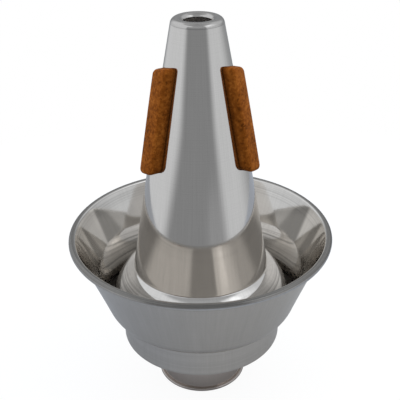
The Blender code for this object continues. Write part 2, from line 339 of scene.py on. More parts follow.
# %% Bands along the sheet and upright streaks as node groups
def make_band():
    """Mask along the sheet: 1 where the run lies between First and Last, fading out beyond."""
    tree, given, put = group_tree(
        "sheet_band", {"First": 0.0, "Last": 0.01, "Fade": 0.001}, ["Mask"]
    )
    run = own_number(tree, "run")
    first, last, fade = (given[k] for k in ("First", "Last", "Fade"))
    rise = smooth(tree, run, maths(tree, "SUBTRACT", first, fade), first)
    fall = smooth(tree, run, maths(tree, "ADD", last, fade), last)
    connect(tree, put, {"Mask": maths(tree, "MULTIPLY", rise, fall)})
    return tree


def make_streaks():
    """Noise by the direction from the axis, drawn out upwards: streaks left by the mop.

    It is read at Count times the direction (x, y) / r, plus 30 times the height.
    """
    tree, given, put = group_tree("upright_streaks", {"Count": 40.0}, ["Mask"])
    place = own_place(tree)
    flat = vectors(tree, "MULTIPLY", place, (1.0, 1.0, 0.0))
    dense = scaled(tree, vectors(tree, "NORMALIZE", flat), given["Count"])
    slow = vectors(tree, "MULTIPLY", place, (0.0, 0.0, 30.0))
    streaks = noise(tree, vectors(tree, "ADD", dense, slow), 1.0, 4.0, 0.7)
    connect(tree, put, {"Mask": stretched(tree, streaks, 0.3, 0.7)})
    return tree


sheet_band = make_band()
upright_streaks = make_streaks()


# %% [markdown]
# The metals
#
# Polished aluminium is one metal with one colour and one gloss, and all that varies over it is
# slight. Two shaders could be mixed by a mask, but one Principled BSDF with Metallic at 1 is
# simpler and an export can read it. The effects above then shade its colour, its roughness and
# its normals, and the anisotropy is turned to run round the axis.

# %% Metals
STREAK_SHADES = (0.94, 1.03)
LINE_SHARE = 0.5
LINE_SHADE = 0.88
SMUDGE_DULLING = 0.4
QUARTER_TURN = 0.25


def start_material(name):
    """A new material with its node tree and its Principled BSDF."""
    material = bpy.data.materials.new(name)
    material.use_nodes = True
    return material, material.node_tree, material.node_tree.nodes["Principled BSDF"]


def blend(tree, share, first, second):
    """Mix of two colours; each one is a socket or three numbers."""
    pair = [c if isinstance(c, bpy.types.NodeSocket) else (*c, 1.0) for c in (first, second)]
    inputs = {0: share, 6: pair[0], 7: pair[1]}
    return node(tree, "ShaderNodeMix", inputs, data_type="RGBA").outputs[2]


def bump(tree, height, distance, **inputs):
    """Normals as if the surface rose by the height, from 0 to 1, times a distance in metres."""
    given = {"Height": height, "Distance": distance, **inputs}
    return node(tree, "ShaderNodeBump", given).outputs["Normal"]


def metal(name, colour, roughness, anisotropy, spacing, line_height, bands=(), grooves=()):
    """Polished or satin aluminium with turning lines, streaks, smudges, bands and grooves.

    The streaks take the colour from 0.94 to 1.03 times itself, and half of the lines' mask
    takes it on to 0.88 times that. The roughness is its plain value times 1 + 0.4 smudges.
    The lines' spacing and height are in metres, and runs are in millimetres along the sheet.
    A band (first, last, fade, shade, roughness) multiplies the metal's colour by the shade and
    sets its roughness between two runs; some bands are painted shade. Grooves (first, last, fade,
    spacing, depth, shade) are the deeper lines of a coarse tool between two runs, darkened by
    painted shade.
    """
    material, tree, surface = start_material(name)

    def use(group, **inputs):
        """What a node group gives with these values."""
        return node(tree, "ShaderNodeGroup", inputs, node_tree=group).outputs

    def span(first, last, fade):
        """Mask of the sheet between two runs."""
        return use(sheet_band, First=first * MM, Last=last * MM, Fade=fade * MM)["Mask"]

    def shaded(share, first, shade):
        """The colour first, with a share of it taken down to this shade of itself."""
        return blend(tree, share, first, scaled(tree, first, shade))

    lines = use(turning_lines, Spacing=spacing)
    marks, streaks = use(smudges)["Mask"], use(upright_streaks)["Mask"]
    shown = blend(tree, streaks, *([c * shade for c in colour] for shade in STREAK_SHADES))
    shown = shaded(maths(tree, "MULTIPLY", lines["Mask"], LINE_SHARE), shown, LINE_SHADE)
    gloss = maths(tree, "MULTIPLY_ADD", marks, roughness * SMUDGE_DULLING, roughness)
    normal = bump(tree, lines["Height"], line_height)

    for first, last, fade, shade, dull in bands:
        wear_and_shade = span(first, last, fade)
        shown = shaded(wear_and_shade, shown, shade)
        gloss = node(tree, "ShaderNodeMix", {0: wear_and_shade, 2: gloss, 3: dull}).outputs[0]
    for first, last, fade, apart, depth, shade in grooves:
        here = span(first, last, fade)
        coarse = use(turning_lines, Spacing=apart * MM)
        shown = shaded(maths(tree, "MULTIPLY", coarse["Mask"], here), shown, shade)
        ridges = maths(tree, "MULTIPLY", coarse["Height"], here)
        normal = bump(tree, ridges, depth * MM, Normal=normal)

    round_axis = node(tree, "ShaderNodeTangent", direction_type="RADIAL", axis="Z").outputs[0]
    connect(tree, surface, {"Metallic": 1.0, "Anisotropic": anisotropy})
    connect(tree, surface, {"Anisotropic Rotation": QUARTER_TURN, "Tangent": round_axis})
    connect(tree, surface, {"Base Color": shown, "Roughness": gloss, "Normal": normal})
    print(f"metal {name}: {len(tree.nodes)} nodes, {len(bands)} bands, {len(grooves)} grooves")
    return material


SATIN_METAL = metal(
    "satin_cap",
    (0.55, 0.55, 0.55),
    roughness=0.28,
    anisotropy=0.4,
    spacing=0.0005,
    line_height=3e-6,
)
TUBE_METAL = metal(
    "drawn_tube",
    (0.57, 0.57, 0.57),
    roughness=0.20,
    anisotropy=0.3,
    spacing=0.0006,
    line_height=2e-6,
)

# %% [markdown]
# The stem
#
# The stem is a small spun bell on a tube. The mute stands on the bell's mouth, so all heights
# climb from here: the bell's flank carries the cup's floor. The bell could be lofted between
# rings, but two Bezier curves that share a slope at its shoulder give one clean profile.

# %% Stem bell and tube
WALL = 0.8
SEAT_GAP = 0.3
FOOT_RADIUS = 21.1
FOOT_BEAD = 0.8
FOOT_STEP = 1.1
BEAD_END = 118.0
BELL_SHOULDER = (12.0, 20.5)
BELL_SLOPE = 32.0
LOWER_PULL = 7.5
UPPER_PULL = 4.6
NECK_HEIGHT = 30.2
NECK_RADIUS = 5.9
TUBE_RADIUS = 4.8
TUBE_WALL = 0.6
TUBE_LAP = 6.0
TUBE_LENGTH = 83.0


def bell_profile():
    """Outer face of the bell: two cubic curves, up from the bead and on from the shoulder."""
    start = polar((FOOT_RADIUS - FOOT_BEAD, FOOT_BEAD), FOOT_BEAD, BEAD_END)
    below = polar(BELL_SHOULDER, LOWER_PULL, -BELL_SLOPE)
    lower = bezier(start, (start[0], start[1] + LOWER_PULL), below, BELL_SHOULDER, 24)
    beyond = polar(BELL_SHOULDER, UPPER_PULL, 180.0 - BELL_SLOPE)
    under_neck = (NECK_RADIUS, NECK_HEIGHT - UPPER_PULL)
    upper = bezier(BELL_SHOULDER, beyond, under_neck, (NECK_RADIUS, NECK_HEIGHT), 28)
    return np.vstack([lower, upper[1:]])


# Painted shade on the bell's bead, where it stands on the table; the bead is duller there too.
FOOT_SHADE = (0.0, 3.0, 1.0, 0.72, 0.2)
BELL_METAL = metal(
    "polished_bell",
    (0.74, 0.667, 0.617),
    roughness=0.09,
    anisotropy=0.5,
    spacing=0.0004,
    line_height=2e-6,
    bands=[FOOT_SHADE],
)

bell_outer = bell_profile()
bell_bead = arc((FOOT_RADIUS - FOOT_BEAD, FOOT_BEAD), FOOT_BEAD, -90.0, 90.0, 16)
mouth_radius = FOOT_RADIUS - FOOT_BEAD - FOOT_STEP
mouth = [(mouth_radius, bell_outer[0, 1]), (mouth_radius, 0.0)]
bell = np.vstack([bell_bead, bell_outer, offset(bell_outer, WALL)[1:][::-1], mouth])
turned(
    "stem_bell_shell",
    bell,
    base=0.0,
    step=0.7,
    around=160,
    body="stem",
    cad_node="stem_bell",
    material=BELL_METAL,
)

tube_low = NECK_HEIGHT - TUBE_LAP
tube = ring(TUBE_RADIUS - TUBE_WALL, TUBE_RADIUS, tube_low, tube_low + TUBE_LENGTH)
turned(
    "stem_pipe",
    tube,
    base=0.0,
    step=1.5,
    around=72,
    body="stem",
    cad_node="stem_tube",
    material=TUBE_METAL,
)

# %% [markdown]
# The cup
#
# The cup is the widest shell: a flat floor with a hole for the stem, a stepped base in which
# the bulb nests, a sloping shelf, a rounded turn, a flaring wall, and an edge that is rolled
# outwards into a bead so that it is stiff and safe to hold. The wall is straight but for a bow
# of a quarter of a millimetre. Such a bow can hardly be seen in its outline, but it moves the
# reflections in the wall a long way, so it is drawn as a curve and not left out.

# %% The cup's profile
BASE_RADIUS = 37.4
BASE_EDGE = 0.6
CUP_HOLE_RADIUS = 7.9
CUP_DEPTH = 13.7
SHELF_ANGLE = 71.5
CUP_TURN = 12.0
WALL_ANGLE = 21.4
CUP_BOW = 0.25
RIM_RADIUS = 60.0
RIM_BEAD = 1.6
RIM_CURL = 288.0


def cup_profile():
    """Hole, floor, fillet, base wall, shelf, turn, wall and curled edge.

    The wall is the straight line from the turn to the curl, moved inwards by 4 s (1 - s) times
    the bow, with s from 0 to 1 along it.
    """
    fillet = arc((BASE_RADIUS - BASE_EDGE, BASE_EDGE), BASE_EDGE, -90.0, 0.0, 12)
    centre = polar((BASE_RADIUS, CUP_DEPTH), CUP_TURN, 180.0 - SHELF_ANGLE)
    turn = arc(centre, CUP_TURN, -SHELF_ANGLE, -WALL_ANGLE, 40)
    curl_radius = RIM_BEAD - WALL
    outwards = 180.0 - WALL_ANGLE
    top_r = polar((RIM_RADIUS - RIM_BEAD, 0.0), curl_radius, outwards)[0]
    top_z = turn[-1, 1] + (top_r - turn[-1, 0]) / math.tan(math.radians(WALL_ANGLE))
    curl_rise = top_z - polar((0.0, 0.0), curl_radius, outwards)[1]
    curl_centre = (RIM_RADIUS - RIM_BEAD, curl_rise)
    curl = arc(curl_centre, curl_radius, outwards, outwards - RIM_CURL, 40)
    share = np.linspace(0.0, 1.0, 30)[1:-1, None]
    bow = np.array(polar((0.0, 0.0), CUP_BOW, outwards)) * 4.0 * share * (1.0 - share)
    wall = turn[-1] + share * (curl[0] - turn[-1]) + bow
    return np.vstack([[(CUP_HOLE_RADIUS, 0.0)], fillet, turn, wall, curl])


cup_path = cup_profile()
print("the cup's profile climbs to", round(cup_path[:, 1].max(), 2), "mm")

# %% [markdown]
# The cup's finish
#
# A spun cup isn't alike all over: the rolled rim has a dark line and fine grooves, the
# depth near the turn is duller and darkened by painted shade, and the outside of the base shows
# the coarse lines of the tool.
# Such places could be painted on a UV map. Here they are bands between two runs: the run goes
# up the outside to the end of the curl, back over the rolled rim and down the inside.

# %% Cup
curl_run = runs(cup_path)[-1] + WALL
RIM_BAND = (curl_run + 4.0, curl_run + 6.6, 0.7, 0.58, 0.24)
RIM_LINE = (curl_run + 4.6, curl_run + 5.3, 0.5, 0.57, 0.24)
# Painted shade deep in the cup by the turn, where the bulb sits close; it is duller there too.
DEPTH_SHADE = (curl_run + 41.0, curl_run + 59.0, 6.0, 0.72, 0.1)
# Both sets of grooves are darkened in their lines by painted shade.
RIM_GROOVES = (curl_run + 6.0, curl_run + 11.0, 6.0, 0.8, 0.003, 0.66)
BASE_GROOVES = (28.0, 52.0, 8.0, 2.2, 0.008, 0.90)
CUP_METAL = metal(
    "polished_cup",
    (0.76, 0.73, 0.69),
    roughness=0.055,
    anisotropy=0.5,
    spacing=0.0005,
    line_height=2e-6,
    bands=[RIM_BAND, RIM_LINE, DEPTH_SHADE],
    grooves=[RIM_GROOVES, BASE_GROOVES],
)

floor_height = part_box("cup")[0].z / MM
turned(
    "spun_cup",
    sheet(cup_path, WALL),
    base=floor_height,
    step=0.9,
    around=192,
    body="cup",
    cad_node="cup",
    material=CUP_METAL,
)

# %% [markdown]
# The mute's body
#
# One long shell makes the cone, the soft shoulder and the top of the bulb. Its tip is rolled
# inwards and dished round the hole. A second, shallow shell closes the bulb from below, and the
# bulb's lower turn rests on the inner corner of the cup's shelf. Where that corner meets the
# turn is worked out and not tried, so that the bulb sits in the cup at its real height.

# %% Where the bulb sits in the cup
BULB_RADIUS = 41.3
BULB_TURN = 9.0


def seat():
    """Distance down and angle at which the bulb's turn meets the shelf's inner corner.

    The distance down is the root of (turn + gap)^2 - across^2, with across the corner's
    distance from the turn's middle, and the angle's tangent is down / across.
    """
    slope = math.radians(SHELF_ANGLE)
    lift = WALL / math.sin(slope) - WALL / math.tan(slope)
    across = BASE_RADIUS - WALL - (BULB_RADIUS - BULB_TURN)
    down = math.sqrt((BULB_TURN + SEAT_GAP) ** 2 - across**2)
    return CUP_DEPTH + lift + down, math.degrees(math.atan2(down, across))


seat_rise, seat_angle = seat()
bulb_height = floor_height + seat_rise
print("the bulb's middle is", round(bulb_height, 2), "mm above the floor")

# %% The body's profile
CONE_FOOT = (30.95, 16.1)
CONE_BOW = 0.3
CREASE = (31.4, 15.3)
CREASE_RISE = 1.25
SHOULDER_SLOPE = 32.0
SHOULDER_PULL = 5.5
BULB_PULL = 3.0
SKIRT_ANGLE = 14.0
TIP_RADIUS = 11.05
TIP_RISE = 130.1
TIP_ROLL = 2.6
TIP_LEAN = 10.8
TIP_CURL = 157.0

tip_centre = (TIP_RADIUS - TIP_ROLL, TIP_RISE - TIP_ROLL)
tip_start = polar(tip_centre, TIP_ROLL, TIP_LEAN)
bulb_centre = (BULB_RADIUS - BULB_TURN, 0.0)


def cone_radius(rise):
    """Straight line from the foot to the tip's roll, plus a bow: 4 s (1 - s) times its depth."""
    share = (rise - CONE_FOOT[1]) / (tip_start[1] - CONE_FOOT[1])
    bow = CONE_BOW * 4.0 * share * (1.0 - share)
    return CONE_FOOT[0] + share * (tip_start[0] - CONE_FOOT[0]) + bow


def soft_crease():
    """Cubic curve that leaves the cone along its lean and runs into the shoulder's first slope."""
    rise = CREASE[1] + CREASE_RISE
    start = (cone_radius(rise), rise)
    lean = math.degrees(math.atan(cone_radius(rise) - cone_radius(rise + 1.0)))
    third = math.dist(start, CREASE) / 3
    along_cone = polar(start, third, lean - 90.0)
    return bezier(start, along_cone, polar(CREASE, third, 180.0 - SHOULDER_SLOPE), CREASE, 16)


def body_profile():
    """Hole, rolled tip, cone, crease, shoulder and skirt, in heights above the bulb's middle."""
    roll = arc(tip_centre, TIP_ROLL, TIP_CURL, TIP_LEAN, 36)
    foot = soft_crease()
    rises = np.linspace(tip_start[1], foot[0, 1], 40)[1:-1]
    cone = np.stack([cone_radius(rises), rises], 1)
    pull = polar(foot[-1], SHOULDER_PULL, -SHOULDER_SLOPE)
    shoulder = bezier(foot[-1], pull, (BULB_RADIUS, BULB_PULL), (BULB_RADIUS, 0.0), 48)
    skirt = arc(bulb_centre, BULB_TURN, 0.0, -SKIRT_ANGLE, 8)
    return np.vstack([roll, cone, foot, shoulder[1:], skirt[1:]])


body_path = body_profile()[::-1]
print("the body's profile climbs from", body_path[0].round(2), "to", body_path[-1].round(2))

# %% [markdown]
# The body's finish
#
# The body gets bands in the same way, with the run going up the outside from the skirt to the
# tip's hole and down the inside: grooves darkened by painted shade and a band of painted shade
# low on the bulb, a fine line where the cone meets the rolled tip, a darker tip, and a dull,
# paler inside.

# %% Body shell
inside_run = runs(body_path)[-1] + WALL
roll_run = runs(body_path)[-1] - math.radians(TIP_CURL - TIP_LEAN) * TIP_ROLL
SHELL_INSIDE = (inside_run, 2 * inside_run, 1.0, 1.15, 0.6)
TIP_LINE = (roll_run - 0.1, roll_run + 0.1, 0.2, 0.72, 0.1)
TIP_BAND = (roll_run + 0.5, inside_run - 1.0, 0.5, 0.82, 0.12)
# Painted shade low on the bulb, where it sits deep in the cup, and in the grooves there.
BULB_SHADE = (0.0, 8.0, 5.0, 0.66, 0.1)
BULB_GROOVES_AND_SHADE = (0.0, 15.0, 4.0, 1.5, 0.006, 0.30)
SHELL_METAL = metal(
    "polished_shell",
    (0.76, 0.73, 0.695),
    roughness=0.06,
    anisotropy=0.6,
    spacing=0.0004,
    line_height=2e-6,
    bands=[SHELL_INSIDE, TIP_LINE, TIP_BAND, BULB_SHADE],
    grooves=[BULB_GROOVES_AND_SHADE],
)

turned(
    "spun_shell",
    sheet(body_path, WALL),
    base=bulb_height,
    step=1.1,
    around=192,
    body="mute_body",
    cad_node="body_shell",
    material=SHELL_METAL,
)

# %% [markdown]
# Cap, collar and sleeve
#
# None of these shows while the mute stands in its cup. The cap laps inside the body's skirt
# and closes the bulb. A flanged collar under the cap holds a sleeve of cork, and the sleeve
# grips the stem's tube. They could be cylinders cut by Boolean modifiers, but all of them are
# turned parts, so a profile makes each one too.

# %% Closing cap
LAP_HEIGHT = 0.4
LAP_ANGLE = 16.5
JOGGLE_ANGLE = 3.0
PAST_SEAT = 3.0
CAP_HOLE_RADIUS = 7.7
COLLAR_NECK_GAP = 1.56


def cap_profile(hole_rise):
    """Lap inside the skirt, joggle, lower turn of the bulb, and a dome to the stem's hole."""
    last = seat_angle + PAST_SEAT
    turn = arc(bulb_centre, BULB_TURN, -SKIRT_ANGLE - JOGGLE_ANGLE, -last, 24)
    lap = arc(bulb_centre, BULB_TURN - WALL - SEAT_GAP, 0.0, -LAP_ANGLE, 8)
    lap_edge = [(BULB_RADIUS - WALL - SEAT_GAP, LAP_HEIGHT)]
    reach = (turn[-1, 0] - CAP_HOLE_RADIUS) / 3
    hole = (CAP_HOLE_RADIUS, hole_rise)
    pull = polar(turn[-1], reach, 270.0 - last)
    dome = bezier(turn[-1], pull, (CAP_HOLE_RADIUS + reach, hole_rise), hole, 32)
    return np.vstack([lap_edge, lap, turn, dome[1:]])


collar_low = NECK_HEIGHT + COLLAR_NECK_GAP - bulb_height
cap_path = cap_profile(collar_low + WALL + SEAT_GAP)[::-1]
turned(
    "closing_cap",
    sheet(cap_path, WALL),
    base=bulb_height,
    step=0.9,
    around=160,
    body="mute_body",
    cad_node="end_cap",
    material=SATIN_METAL,
)

# %% Flanged collar
FLANGE_RADIUS = 10.4
COLLAR_LENGTH = 24.0

collar_outer = CAP_HOLE_RADIUS - SEAT_GAP
collar_inner = collar_outer - WALL
collar = np.array(
    [
        (collar_inner, collar_low),
        (FLANGE_RADIUS, collar_low),
        (FLANGE_RADIUS, collar_low + WALL),
        (collar_outer, collar_low + WALL),
        (collar_outer, collar_low + COLLAR_LENGTH),
        (collar_inner, collar_low + COLLAR_LENGTH),
    ]
)
turned(
    "flanged_collar",
    collar,
    base=bulb_height,
    step=1.5,
    around=96,
    body="mute_body",
    cad_node="stem_collar",
    material=SATIN_METAL,
)

# %% [markdown]
# Cork
#
# The strips are cut from pressed cork: granules a millimetre or so wide, of several browns, with
# dark pores between them, and sanded until the edges are soft. A photograph of cork could be
# wrapped round them, but it would stretch at the corners. Cells and noise that are read at the
# point's own place run through the whole piece, as real cork does.

# %% Cork finish
GRANULES_PER_METRE = 1100.0
PORES_PER_METRE = 650.0
GRAINS_PER_METRE = 700.0
BLOTCHES_PER_METRE = 160.0
RELIEF = 0.00025


def make_cork(name, light, brown, dark, contact_shade):
    """Cells give each granule its own brown, noise breaks it up, and pores are dark and sunk.

    The tone is half the granule's number plus the grain plus the blotches, and runs from dark
    through brown to light. Near the metal the strip gets painted shade: darkest where it meets
    the cone, none at the outer face.
    """
    material, tree, surface = start_material(name)
    place = own_place(tree)

    def cells(scale):
        """Voronoi cells, so many to a metre."""
        return node(tree, "ShaderNodeTexVoronoi", {"Vector": place, "Scale": scale}).outputs

    granules = cells(GRANULES_PER_METRE)["Color"]
    pore = smooth(tree, cells(PORES_PER_METRE)["Distance"], 0.16, 0.05)
    grain = noise(tree, place, GRAINS_PER_METRE, 6.0, 0.7)
    tone = maths(tree, "ADD", maths(tree, "MULTIPLY", granules, 0.5), grain)
    tone = maths(tree, "ADD", tone, noise(tree, place, BLOTCHES_PER_METRE, 3.0))
    ramp = node(tree, "ShaderNodeValToRGB", {"Fac": stretched(tree, tone, 0.75, 1.8)})
    ramp.color_ramp.elements[0].color = (*dark, 1.0)
    ramp.color_ramp.elements[1].color = (*light, 1.0)
    ramp.color_ramp.elements.new(0.45).color = (*brown, 1.0)
    shown = blend(tree, maths(tree, "MULTIPLY", pore, 0.6), ramp.outputs["Color"], dark)
    # Painted shade: the strip darkens towards the cone, where the cork meets the metal.
    near_metal = smooth(tree, own_number(tree, "above"), 0.45, 0.05)
    shown = blend(tree, maths(tree, "MULTIPLY", near_metal, contact_shade), shown, dark)
    raised = maths(tree, "SUBTRACT", grain, pore)
    varied = {
        "Base Color": shown,
        "Roughness": stretched(tree, grain, 0.0, 1.0, 0.75, 0.95),
        "Normal": bump(tree, raised, RELIEF, Strength=0.7),
    }
    plain = {
        "Specular IOR Level": 0.04,
        "Sheen Weight": 0.10,
        "Sheen Roughness": 0.35,
        "Sheen Tint": (1.0, 0.66, 0.34, 1.0),
    }
    connect(tree, surface, {**varied, **plain})
    print(f"cork {name}: {len(tree.nodes)} nodes")
    return material


STRIP_CORK = make_cork(
    "pressed_cork",
    light=(0.45, 0.150, 0.024),
    brown=(0.250, 0.070, 0.008),
    dark=(0.075, 0.019, 0.002),
    contact_shade=0.65,
)
SLEEVE_CORK = make_cork(
    "sleeve_cork_grain",
    light=(0.50, 0.30, 0.15),
    brown=(0.38, 0.19, 0.08),
    dark=(0.16, 0.06, 0.02),
    contact_shade=0.0,
)

# %% Cork sleeve
RUNNING_GAP = 0.08
SLEEVE_INSET = 1.6
SLEEVE_LENGTH = 20.0

sleeve_low = collar_low + SLEEVE_INSET
sleeve = ring(
    TUBE_RADIUS + RUNNING_GAP, collar_inner - SEAT_GAP, sleeve_low, sleeve_low + SLEEVE_LENGTH
)
turned(
    "cork_sleeve",
    sleeve,
    base=bulb_height,
    step=1.0,
    around=96,
    body="mute_body",
    cad_node="collar_cork",
    material=SLEEVE_CORK,
)

# %% [markdown]
# The strips
#
# Each strip follows the cone. Its section is a rectangle whose outer corners are softened by
# sanding, carried down the cone. Seen from outside, its four corners are rounded, and it grows
# a little narrower and thicker towards the foot. A cube with a Bevel modifier could be bent
# round the cone with a lattice, but a section carried down a path follows the cone exactly.

# %% The section of a strip
STRIP_WIDTH = 10.8
STRIP_LENGTH = 44.7
STRIP_TOP = TIP_RISE - 18.6
STRIP_THICKNESS = 4.3
THICKER_AT_FOOT = 0.4
NARROWER_AT_FOOT = 0.25
THINNER_AT_CUT = 0.6
TOP_ROUND = 2.0
FOOT_ROUND = 2.6
COLUMNS = 72


def section(count, outer, inner):
    """Rectangle from -1 to 1 and 0 to 1 with arcs at its corners, its points spaced evenly."""
    corners = [
        arc((1.0 - inner, inner), inner, -90.0, 0.0, 5),
        arc((1.0 - outer, 1.0 - outer), outer, 0.0, 90.0, 9),
        arc((outer - 1.0, 1.0 - outer), outer, 90.0, 180.0, 9),
        arc((inner - 1.0, inner), inner, 180.0, 270.0, 5),
    ]
    line = np.vstack([*corners, corners[0][:1]])
    run = runs(line)
    marks = np.linspace(0.0, run[-1], count, endpoint=False)
    return np.stack([np.interp(marks, run, line[:, k]) for k in (0, 1)], 1)


def strip_rows():
    """How far down the strip each row lies, and how far its sides are cut back there.

    A quarter circle rounds each end: down is r (1 - cos t) from the end and the cut is
    r (1 - sin t), with t from 0 to a quarter turn. Between the ends nothing is cut.
    """
    t = np.linspace(0.0, math.pi / 2, 12)
    straight = np.linspace(TOP_ROUND, STRIP_LENGTH - FOOT_ROUND, 70)[1:-1]
    top, foot = 1.0 - np.cos(t), 1.0 - np.cos(t[::-1])
    down = np.concatenate([TOP_ROUND * top, straight, STRIP_LENGTH - FOOT_ROUND * foot])
    top, foot = 1.0 - np.sin(t), 1.0 - np.sin(t[::-1])
    cut = np.concatenate([TOP_ROUND * top, np.zeros(len(straight)), FOOT_ROUND * foot])
    return down, cut


unit_section = section(COLUMNS, 0.22, 0.04)
strip_down, strip_cut = strip_rows()
print("a strip has", len(strip_down), "rows of", COLUMNS, "points and four more at each end")


# %% Cork strips
END_RINGS = np.array([0.75, 0.5, 0.25, 0.04])[:, None]
END_SLANT = 1.5
INTO_GAP = 0.05


def strip_grid():
    """Across, above and down of each point on a flat strip, row by row.

    Half the width is STRIP_WIDTH / 2 - cut - 0.25 s, and the thickness is 4.3 + 0.4 s - 0.6 cut,
    with s from 0 at the top to 1 at the foot. Four smaller and smaller rings round the middle
    of each end close it.
    """
    share = strip_down / STRIP_LENGTH
    thick = STRIP_THICKNESS + THICKER_AT_FOOT * share
    half = STRIP_WIDTH / 2 - strip_cut - NARROWER_AT_FOOT * share
    across = unit_section[None, :, 0] * half[:, None]
    above = unit_section[None, :, 1] * (thick - THINNER_AT_CUT * strip_cut)[:, None]
    middle = 0.5 * thick
    head = middle[0] + (above[:1] - middle[0]) * END_RINGS[::-1]
    tail = middle[-1] + (above[-1:] - middle[-1]) * END_RINGS
    across = np.vstack([across[:1] * END_RINGS[::-1], across, across[-1:] * END_RINGS])
    above = np.vstack([head, above, tail])
    down = np.concatenate([np.zeros(4), strip_down, np.full(4, STRIP_LENGTH)])[:, None]
    return across, above, down, thick.max()


def strip(side, angle):
    """The flat strip bent round the cone and turned about the axis by the angle.

    x = sqrt(radius^2 - across^2) and y = across, with the radius that of the cone plus the
    point's height above it. The ends are cut at a slight slant, which at the strip's sides
    comes to END_SLANT times the cosine of the angle.
    """
    across, above, down, thickest = strip_grid()
    c, s = math.cos(math.radians(angle)), math.sin(math.radians(angle))
    height = STRIP_TOP - down - END_SLANT * c * across / (STRIP_WIDTH / 2)
    depth = (STRIP_THICKNESS + SEAT_GAP - INTO_GAP) / STRIP_THICKNESS
    radius = cone_radius(height) + INTO_GAP + above * depth
    x, y = np.sqrt(radius**2 - across**2), across
    points = np.stack([x * c - y * s, x * s + y * c, height + bulb_height], -1) * MM
    rows = len(points)
    faces = grid_faces(rows, COLUMNS, False)[:, ::-1]
    ends = [range(COLUMNS), range(rows * COLUMNS - 1, (rows - 1) * COLUMNS - 1, -1)]
    faces = faces.tolist() + [list(end) for end in ends]
    points = points.reshape(-1, 3)
    nodes = [f"cork_strip_{side}"]
    piece = put_together(
        f"cork_{side}", points, faces, "mute_body", nodes, STRIP_CORK
    )
    number_points(piece, "above", (above / thickest).ravel())


for side, angle in (("back", 92.0), ("left", 210.2), ("right", 334.8)):
    strip(side, angle)

# %% [markdown]
# The studio
#
# Polished metal shows what stands around it, so that matters more here than any lamp. Lamps
# and real panels could stand round the mute, but panels that are painted on the world by
# bearing and height have edges as soft as one likes and never come into the picture. The mute
# stands on a small pale table. The camera itself sees only white: a ray that comes straight
# from it takes the white, a reflected ray meets the panels, and matt things get plain light.


# %% Paint of the table
PAINT = (0.33, 0.34, 0.355)
PAINT_FAR_OUT = (0.31, 0.34, 0.395)
SHADE_ON_LEFT = (0.28, 0.30, 0.335)
WHITE_STRENGTH = 1.25
WHITE_FOR_CAMERA = 0.74
WHITE_FOR_MIRRORS = 0.04


def ray_kinds(tree):
    """Whether a ray comes straight from the camera, and whether it is mirrored or refracted."""
    path = node(tree, "ShaderNodeLightPath").outputs
    mirrored = maths(tree, "MAXIMUM", path["Is Glossy Ray"], path["Is Transmission Ray"])
    return path["Is Camera Ray"], mirrored


def table_finish():
    """Matt pale paint, whitened for the camera so that little shadow is left.

    It is cooler far out, and darker on the left by painted shade. Reflections meet the same
    white, but a smaller share of it: the mute's underside shows the shadow that it throws on the
    table.
    """
    material, tree, paint = start_material("pale_table")
    place = own_place(tree)
    far = node(tree, "ShaderNodeVectorMath", {0: place}, operation="LENGTH").outputs["Value"]
    left = node(tree, "ShaderNodeSeparateXYZ", {0: place}).outputs["X"]
    shown = blend(tree, smooth(tree, far, 0.08, 0.13), PAINT, PAINT_FAR_OUT)
    # Painted shade: the paint darkens towards the left.
    shown = blend(tree, smooth(tree, left, 0.03, -0.08), shown, SHADE_ON_LEFT)
    connect(tree, paint, {"Base Color": shown, "Roughness": 0.9, "Specular IOR Level": 0.0})
    white_light = {"Color": (1.0, 1.0, 1.0, 1.0), "Strength": WHITE_STRENGTH}
    white = node(tree, "ShaderNodeEmission", white_light)
    camera_ray, mirrored = ray_kinds(tree)
    share = maths(tree, "MULTIPLY", mirrored, WHITE_FOR_MIRRORS)
    share = maths(tree, "MULTIPLY_ADD", camera_ray, WHITE_FOR_CAMERA, share)
    mixed = node(tree, "ShaderNodeMixShader", {0: share, 1: paint.outputs[0], 2: white.outputs[0]})
    connect(tree, tree.nodes["Material Output"], {"Surface": mixed.outputs[0]})
    print("paint of the table:", len(tree.nodes), "nodes")
    return material


TABLE_PAINT = table_finish()

# %% Round pale table
TABLE_RADIUS = 0.32
TABLE_CORNERS = 96


def make_table():
    """Disc at height zero, its corners at (r cos a, r sin a)."""
    a = np.arange(TABLE_CORNERS) * (math.tau / TABLE_CORNERS)
    rim = np.stack([TABLE_RADIUS * np.cos(a), TABLE_RADIUS * np.sin(a), np.zeros(len(a))], 1)
    mesh = bpy.data.meshes.new("studio_table")
    mesh.from_pydata(rim, [], [list(range(len(a)))])
    mesh.materials.append(TABLE_PAINT)
    table = bpy.data.objects.new("studio_table", mesh)
    bpy.context.scene.collection.objects.link(table)
    print("table:", 2 * TABLE_RADIUS, "m wide")


make_table()

# %% [markdown]
# The panels
#
# Two wide soft panels stand on the left and the right, and the room in front, behind and
# overhead is grey. Low down the panels' front edges are softer, and their light ends overhead.
# The right panel has a bright core high up. Each panel is a mask with a brightness, and the
# room's is a plain grey with a few faint glows added to it.


# %% Bearing, height and the panels' edges
def look(tree):
    """Bearing from the front, positive to the right, and height of a ray, both in degrees.

    The bearing is the arc tangent of x over -y, and the height is the arc sine of z.
    """
    ray = node(tree, "ShaderNodeTexCoord").outputs["Generated"]
    parts = node(tree, "ShaderNodeSeparateXYZ", {0: ray}).outputs
    bearing = maths(tree, "ARCTAN2", parts["X"], maths(tree, "MULTIPLY", parts["Y"], -1.0))
    height = maths(tree, "ARCSINE", parts["Z"])
    return maths(tree, "DEGREES", bearing), maths(tree, "DEGREES", height)


def between(tree, value, a, b, c, d):
    """0 up to a, rising to 1 at b, 1 up to c, and falling to 0 at d."""
    return maths(tree, "MULTIPLY", smooth(tree, value, a, b), smooth(tree, value, d, c))


